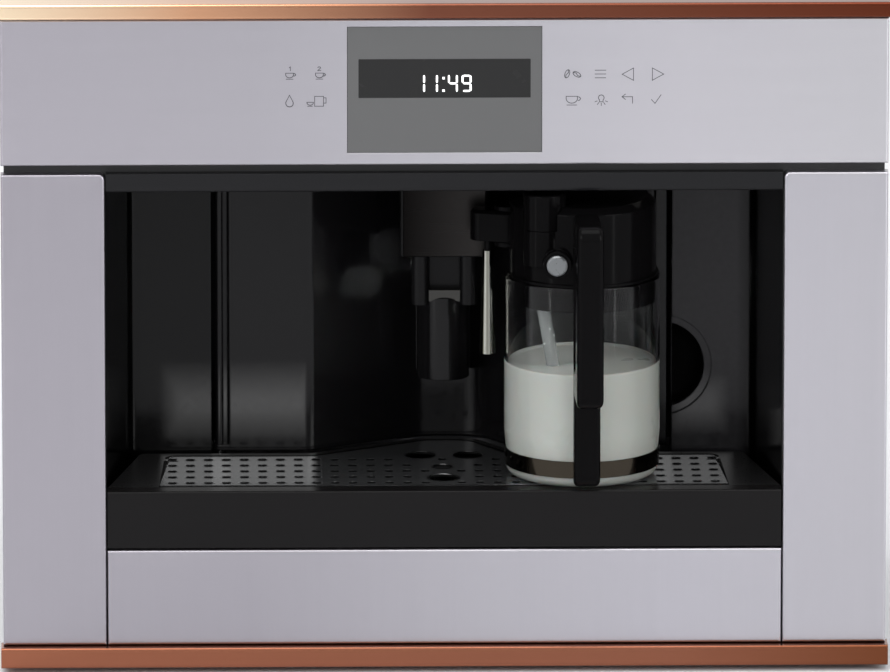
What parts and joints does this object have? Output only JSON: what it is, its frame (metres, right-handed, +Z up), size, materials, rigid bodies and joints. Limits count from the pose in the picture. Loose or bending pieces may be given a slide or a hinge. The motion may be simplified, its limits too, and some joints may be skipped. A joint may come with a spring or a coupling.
{
  "type": "built-in coffee machine",
  "caption": "Built-in bean-to-cup coffee machine: steel front with copper-coloured trims, black niche with coffee outlet and milk jug, drip tray, pull-out rails.",
  "frame": {"origin": "centre of the bounding box at its lowest level, the underside of the bottom trim", "axes": "+X to the right seen from the front, +Y from the front to the back, +Z up"},
  "size_m": [0.597, 0.4266, 0.455],
  "materials": {
    "galvanised": "plain zinc-coated sheet",
    "screw_steel": "bright zinc",
    "front_steel": "satin with a faint lavender tone",
    "copper_trim": "polished copper colour",
    "frame_black": "fine texture",
    "lip_dark": "satin dark grey",
    "grey_glass": "polished",
    "circuit_board": "solder resist",
    "niche_black": "high gloss",
    "lamp_lens": "clear satin lens",
    "bay_grey": "moulded",
    "pin_steel": "ground",
    "outlet_plate": "dark satin",
    "chrome": "polished",
    "jug_glass": "clear",
    "milk": "wet",
    "jug_black": "gloss",
    "tube_clear": "translucent",
    "button_silver": "silver satin",
    "tray_black": "satin",
    "grille_steel": "dark satin",
    "float_dark": "moulded",
    "hopper_smoke": "smoke tinted",
    "knob_black": "fluted",
    "grinder_black": "glass-filled",
    "cast_aluminium": "cast",
    "pump_body": "yellow passivated",
    "brew_grey": "moulded",
    "grounds_black": "moulded",
    "tank_clear": "tinted clear",
    "inlet_black": "moulded"
  },
  "bodies": {
    "cabinet_rails": {"rail_outer_left": "galvanised", "rail_outer_right": "galvanised"},
    "middle_rails": {"rail_middle_left": "galvanised", "rail_middle_right": "galvanised"},
    "appliance": {"rail_inner_left": "galvanised", "rail_inner_right": "galvanised", "chassis_base": "galvanised", "side_panel_left": "galvanised", "side_panel_right": "galvanised", "back_panel": "galvanised", "top_cover": "galvanised", "housing_screws": "screw_steel", "front_frame": "frame_black", "control_panel": "front_steel", "display_window": "grey_glass", "display_module": "frame_black", "touch_board": "circuit_board", "trim_top": "copper_trim", "trim_bottom": "copper_trim", "column_left": "front_steel", "column_right": "front_steel", "lower_panel": "front_steel", "lip_strip": "lip_dark", "niche_liner": "niche_black", "niche_lamps": "lamp_lens", "service_bay": "bay_grey", "door_hinge_pins": "pin_steel", "bean_hopper": "hopper_smoke", "powder_chute": "hopper_smoke", "grinder": "grinder_black", "thermoblock": "cast_aluminium", "water_pump": "pump_body", "brew_unit": "brew_grey", "grounds_container": "grounds_black", "power_board": "circuit_board", "power_inlet": "inlet_black"},
    "service_door": {"service_door": "niche_black", "steam_nozzle": "pin_steel"},
    "coffee_spout": {"spout_carriage": "niche_black", "dispenser_plate": "outlet_plate", "spout_bridge": "chrome"},
    "milk_jug": {"jug_glass": "jug_glass", "jug_band": "chrome", "jug_handle": "jug_black", "milk_fill": "milk", "jug_lid": "jug_black", "milk_intake_tube": "tube_clear"},
    "clean_button": {"clean_button": "button_silver"},
    "froth_knob": {"froth_knob": "jug_black"},
    "milk_spout": {"milk_spout_arm": "jug_black", "milk_spout_tube": "chrome"},
    "drip_tray": {"drip_tray": "tray_black", "tray_fascia": "niche_black", "cup_grille": "grille_steel"},
    "level_float": {"level_float": "float_dark"},
    "bean_lid": {"bean_lid": "hopper_smoke"},
    "powder_lid": {"powder_lid": "hopper_smoke"},
    "grind_knob": {"grind_knob": "knob_black"},
    "water_tank": {"water_tank": "tank_clear"},
    "main_switch": {"main_switch": "inlet_black"}
  },
  "joints": [
    {"name": "appliance_slide", "type": "slide", "parent": "middle_rails", "child": "appliance", "axis": [0, -1, 0], "range_m": [0, 0.15]},
    {"name": "middle_rails_slide", "type": "slide", "parent": "cabinet_rails", "child": "middle_rails", "axis": [0, -1, 0], "range_m": [0, 0.15]},
    {"name": "service_door_hinge", "type": "hinge", "parent": "appliance", "child": "service_door", "pos_m": [-0.1509, -0.04955, 0.1205], "axis": [0, 0, -1], "range_deg": [0, 95]},
    {"name": "coffee_spout_slide", "type": "slide", "parent": "service_door", "child": "coffee_spout", "axis": [0, 0, -1], "range_m": [0, 0.035]},
    {"name": "milk_jug_slide", "type": "slide", "parent": "service_door", "child": "milk_jug", "axis": [0, -1, 0], "range_m": [0, 0.17]},
    {"name": "clean_button_press", "type": "slide", "parent": "milk_jug", "child": "clean_button", "axis": [0, 1, 0], "range_m": [0, 0.002], "stiffness_N_per_m": 400, "springref_m": -0.001},
    {"name": "froth_knob_turn", "type": "hinge", "parent": "milk_jug", "child": "froth_knob", "pos_m": [0.0675, -0.15025, 0.2961], "axis": [0, 0, 1], "range_deg": [-45, 45]},
    {"name": "milk_spout_swivel", "type": "hinge", "parent": "milk_jug", "child": "milk_spout", "pos_m": [0.043, -0.10625, 0.2781], "axis": [0, 0, 1], "range_deg": [0, 35]},
    {"name": "drip_tray_slide", "type": "slide", "parent": "appliance", "child": "drip_tray", "axis": [0, -1, 0], "range_m": [0, 0.16]},
    {"name": "level_float_rise", "type": "slide", "parent": "drip_tray", "child": "level_float", "axis": [0, 0, 1], "range_m": [0, 0.006]},
    {"name": "bean_lid_hinge", "type": "hinge", "parent": "appliance", "child": "bean_lid", "pos_m": [-0.13, 0.15495, 0.419], "axis": [-1, 0, 0], "range_deg": [0, 100]},
    {"name": "powder_lid_hinge", "type": "hinge", "parent": "appliance", "child": "powder_lid", "pos_m": [0.045, 0.08195, 0.419], "axis": [-1, 0, 0], "range_deg": [0, 100]},
    {"name": "grind_knob_turn", "type": "hinge", "parent": "appliance", "child": "grind_knob", "pos_m": [-0.03, 0.08275, 0.4135], "axis": [0, 0, 1], "range_deg": [-60, 60]},
    {"name": "water_tank_lift", "type": "slide", "parent": "appliance", "child": "water_tank", "axis": [0, 0, 1], "range_m": [0, 0.2]},
    {"name": "main_switch_rock", "type": "hinge", "parent": "appliance", "child": "main_switch", "pos_m": [0.19, 0.20715, 0.104], "axis": [1, 0, 0], "range_deg": [-14, 0]}
  ],
  "couplings": [
    {"joint": "middle_rails_slide", "follows": "appliance_slide", "ratio": 1}
  ]
}
